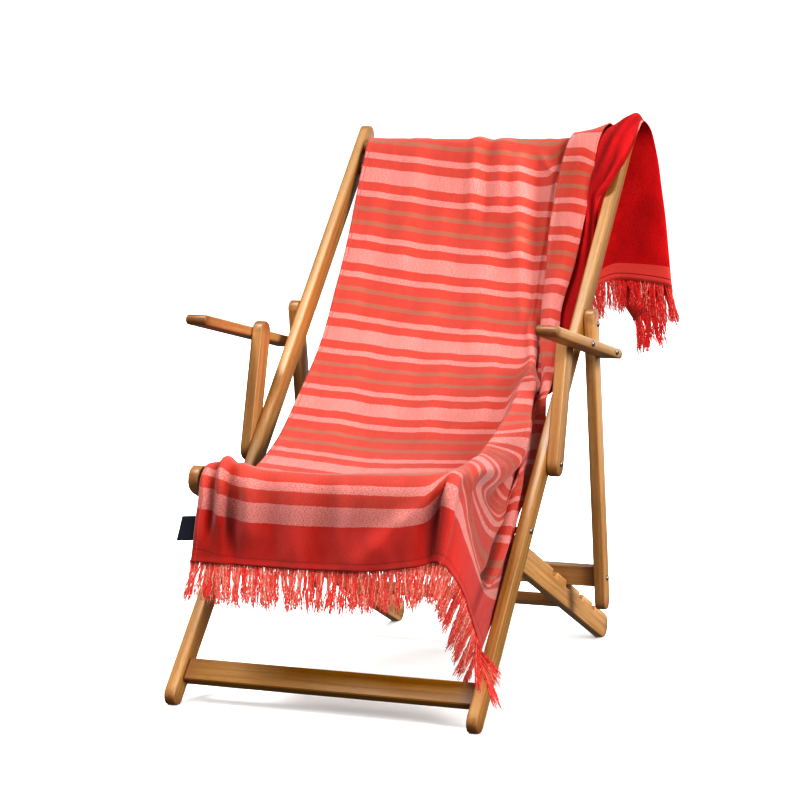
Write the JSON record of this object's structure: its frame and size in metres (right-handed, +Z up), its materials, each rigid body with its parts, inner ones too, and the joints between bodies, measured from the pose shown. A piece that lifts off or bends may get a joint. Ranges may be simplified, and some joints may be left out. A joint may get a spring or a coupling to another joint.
{
  "type": "hammam towel draped on a folding deck chair",
  "caption": "Striped fringed hammam towel with a terry back, draped over a plain wooden folding deck chair and hanging over its front, side and top.",
  "frame": {"origin": "bottom centre of the box round the towel and chair, on the floor under them", "axes": "+Z up; +Y from the chair's front to its back; +X to the right of someone who faces the chair"},
  "size_m": [0.7154, 1.0934, 1.0689],
  "materials": {
    "chair_wood": "oiled light hardwood",
    "bolt_steel": "dull zinc-plated heads",
    "sling_cloth": "plain canvas",
    "towel_cloth": "flat-woven coral stripes over red terry",
    "fringe_yarn": "loose cotton yarn",
    "label_weave": "bare dark woven label"
  },
  "bodies": {
    "root": {"arm_strut_left": "chair_wood", "arm_strut_right": "chair_wood", "armrest_left": "chair_wood", "armrest_right": "chair_wood", "bolt_arm_front_left": "bolt_steel", "bolt_arm_front_right": "bolt_steel", "bolt_arm_rear_left": "bolt_steel", "bolt_arm_rear_right": "bolt_steel", "bolt_prop_bar_left": "bolt_steel", "bolt_prop_bar_right": "bolt_steel", "bolt_prop_left": "bolt_steel", "bolt_prop_right": "bolt_steel", "bolt_seat_left": "bolt_steel", "bolt_seat_right": "bolt_steel", "bolt_strut_left": "bolt_steel", "bolt_strut_right": "bolt_steel", "fringe_front": "fringe_yarn", "fringe_rear": "fringe_yarn", "front_bar": "chair_wood", "front_stretcher": "chair_wood", "label": "label_weave", "long_rail_left": "chair_wood", "long_rail_right": "chair_wood", "pivot_spacer_left": "bolt_steel", "pivot_spacer_right": "bolt_steel", "prop_crossbar": "chair_wood", "prop_rail_left": "chair_wood", "prop_rail_right": "chair_wood", "rear_crossbar": "chair_wood", "seat_rail_left": "chair_wood", "seat_rail_right": "chair_wood", "sling_canvas": "sling_cloth", "sling_rod": "chair_wood", "top_crossbar": "chair_wood", "towel": "towel_cloth"}
  },
  "joints": []
}
